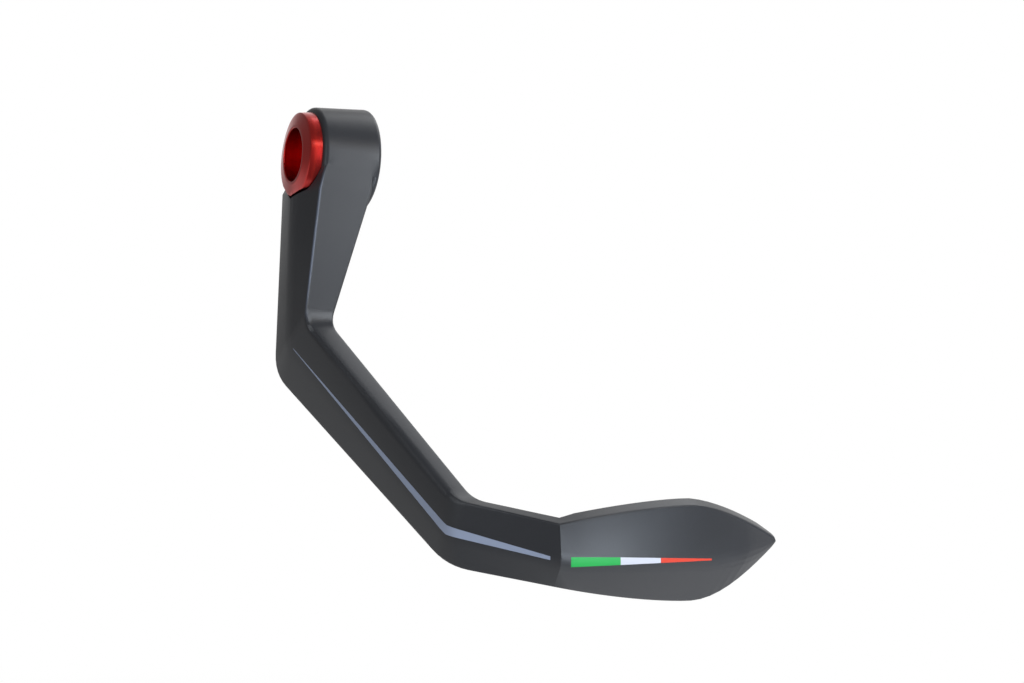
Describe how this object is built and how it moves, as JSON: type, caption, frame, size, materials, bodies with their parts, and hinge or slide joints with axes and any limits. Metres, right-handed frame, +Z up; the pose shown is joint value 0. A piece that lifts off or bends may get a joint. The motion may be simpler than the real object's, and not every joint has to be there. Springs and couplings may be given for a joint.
{
  "type": "brake lever guard",
  "caption": "Satin black lever guard: a folded arm with a drilled eye, a leaf-shaped blade with a colour stripe, and a red drop-shaped bar-end insert",
  "frame": {"origin": "on the axis of the bar-end bore, level with the outer face of the eye that the flange of the insert sits on", "axes": "+X runs along the handlebar from its end towards the grip, +Y points to the rear, +Z points up with the guard fitted"},
  "size_m": [0.1128, 0.0807, 0.1248],
  "materials": {
    "arm_black": "satin black anodised, with a tricolour stripe and a grey-blue stripe",
    "insert_red": "turned and red anodised, semi-gloss"
  },
  "bodies": {
    "root": {"guard_arm": "arm_black", "bar_end_insert": "insert_red"}
  },
  "joints": []
}
